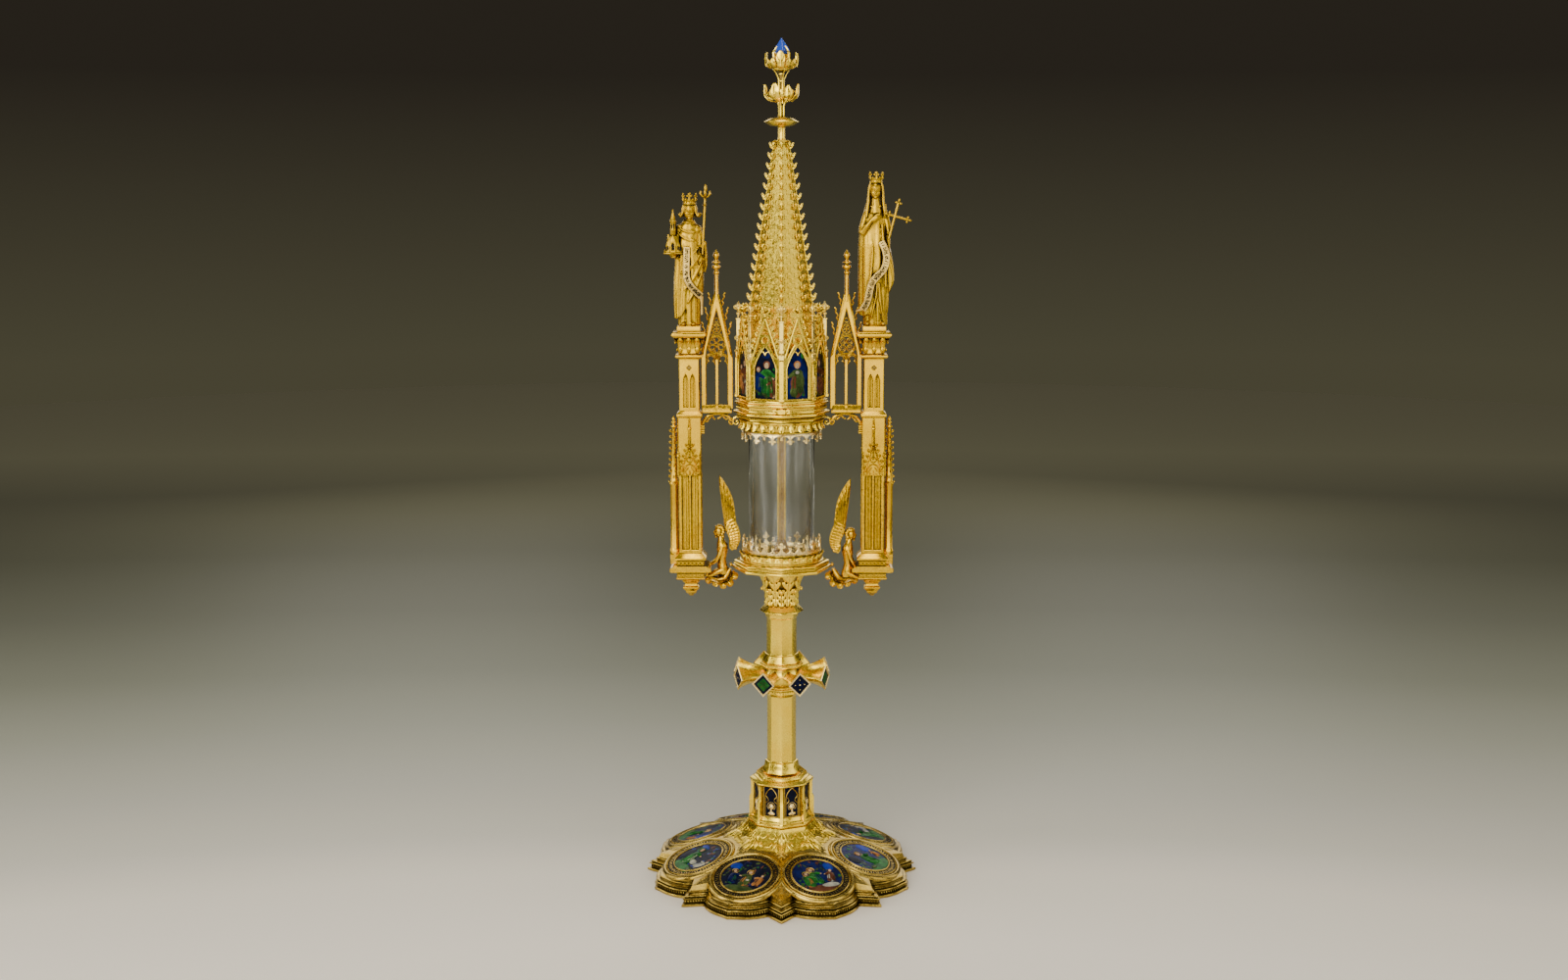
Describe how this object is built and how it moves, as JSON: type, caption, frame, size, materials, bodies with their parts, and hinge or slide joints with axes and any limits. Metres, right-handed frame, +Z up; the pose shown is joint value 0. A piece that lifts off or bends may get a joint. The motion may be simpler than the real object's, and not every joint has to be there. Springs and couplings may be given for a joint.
{
  "type": "tower reliquary",
  "caption": "Gothic tower reliquary: lobed enamelled foot, octagonal stem with a knop, rock crystal cylinder between piers with statues, and an enamelled lantern under a tiled spire.",
  "frame": {"origin": "centre of the foot's underside, on the surface it stands on", "axes": "+Z up along the spire, -Y towards the front (the side with the clasp), +X towards the statue with the cross"},
  "size_m": [0.239, 0.239, 0.72],
  "materials": {
    "gilt": "polished gilding, a little worn",
    "antique_gilt": "darkened gilding, satin",
    "silver_gilt": "pale silver gilt, satin",
    "medallion_enamel": "translucent enamel in a gilt rim, glossy",
    "drum_enamel": "dark blue enamel, glossy",
    "knop_enamel": "green and blue enamel, glossy",
    "lantern_enamel": "blue and green translucent enamel, glossy",
    "rock_crystal": "polished clear crystal",
    "relic": "brown, with a gilt strip, matt",
    "blue_stone": "faceted blue stone, polished"
  },
  "bodies": {
    "root": {"foot": "antique_gilt", "foot_medallion_1": "medallion_enamel", "foot_medallion_2": "medallion_enamel", "foot_medallion_3": "medallion_enamel", "foot_medallion_4": "medallion_enamel", "foot_medallion_5": "medallion_enamel", "foot_medallion_6": "medallion_enamel", "foot_medallion_7": "medallion_enamel", "foot_medallion_8": "medallion_enamel", "drum": "antique_gilt", "drum_plaque_1": "drum_enamel", "drum_plaque_2": "drum_enamel", "drum_plaque_3": "drum_enamel", "drum_plaque_4": "drum_enamel", "drum_plaque_5": "drum_enamel", "drum_plaque_6": "drum_enamel", "drum_plaque_7": "drum_enamel", "drum_plaque_8": "drum_enamel", "stem_lower": "gilt", "knop": "gilt", "knop_plaque_1": "knop_enamel", "knop_plaque_2": "knop_enamel", "knop_plaque_3": "knop_enamel", "knop_plaque_4": "knop_enamel", "knop_plaque_5": "knop_enamel", "knop_plaque_6": "knop_enamel", "knop_plaque_7": "knop_enamel", "knop_plaque_8": "knop_enamel", "stem_upper": "gilt", "capital": "gilt", "platform": "gilt", "cresting_lower": "silver_gilt", "crystal": "rock_crystal", "relic": "relic", "cresting_upper": "silver_gilt", "cap": "gilt", "clasp": "gilt", "lantern": "gilt", "lantern_plaque_1": "lantern_enamel", "lantern_plaque_2": "lantern_enamel", "lantern_plaque_3": "lantern_enamel", "lantern_plaque_4": "lantern_enamel", "lantern_plaque_5": "lantern_enamel", "lantern_plaque_6": "lantern_enamel", "lantern_plaque_7": "lantern_enamel", "lantern_plaque_8": "lantern_enamel", "spire": "gilt", "finial": "gilt", "finial_stone": "blue_stone", "pier_left": "gilt", "buttress_left": "gilt", "window_left": "gilt", "angel_left": "gilt", "pier_right": "gilt", "buttress_right": "gilt", "window_right": "gilt", "angel_right": "gilt", "statue_king": "gilt", "statue_queen": "gilt"}
  },
  "joints": []
}
